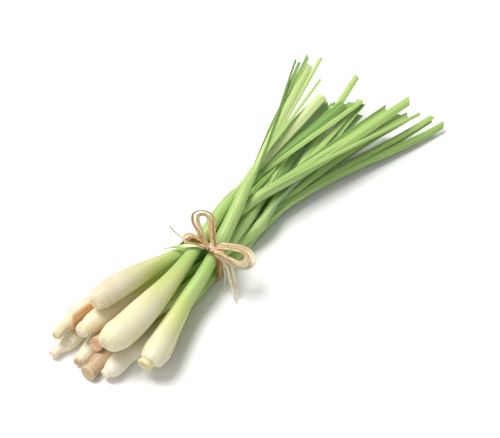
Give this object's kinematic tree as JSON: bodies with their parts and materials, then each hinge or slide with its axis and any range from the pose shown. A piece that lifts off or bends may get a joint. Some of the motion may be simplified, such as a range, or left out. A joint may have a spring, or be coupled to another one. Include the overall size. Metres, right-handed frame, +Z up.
{
  "type": "tied lemongrass bunch",
  "caption": "Tied bunch of trimmed lemongrass lying flat: swollen pale bulbs, green folded blades cropped straight, raffia band with knot, bow loops and tails.",
  "frame": {"origin": "centre of the bunch's footprint, on the surface it lies on", "axes": "+X along the bunch from the bulbs to the cropped blade tips, +Y across it, +Z up from the surface"},
  "size_m": [0.36, 0.1173, 0.0611],
  "materials": {
    "lemongrass": "satin fibrous plant skin, ivory at the bulbs and leaf green at the blades",
    "raffia": "matt dry palm fibre, straw coloured"
  },
  "bodies": {
    "root": {"stalk_front": "lemongrass", "stalk_brown": "lemongrass", "stalk_top": "lemongrass", "stalk_low": "lemongrass", "stalk_thin": "lemongrass", "stalk_under": "lemongrass", "stalk_middle": "lemongrass", "stalk_upper": "lemongrass", "stalk_sheathed": "lemongrass", "stalk_far": "lemongrass", "raffia_band": "raffia", "bow_loop_up_outer": "raffia", "bow_loop_up_inner": "raffia", "bow_loop_side_outer": "raffia", "bow_loop_side_inner": "raffia", "bow_loop_left": "raffia", "bow_tail_long": "raffia", "bow_tail_middle": "raffia", "bow_tail_short": "raffia"}
  },
  "joints": []
}
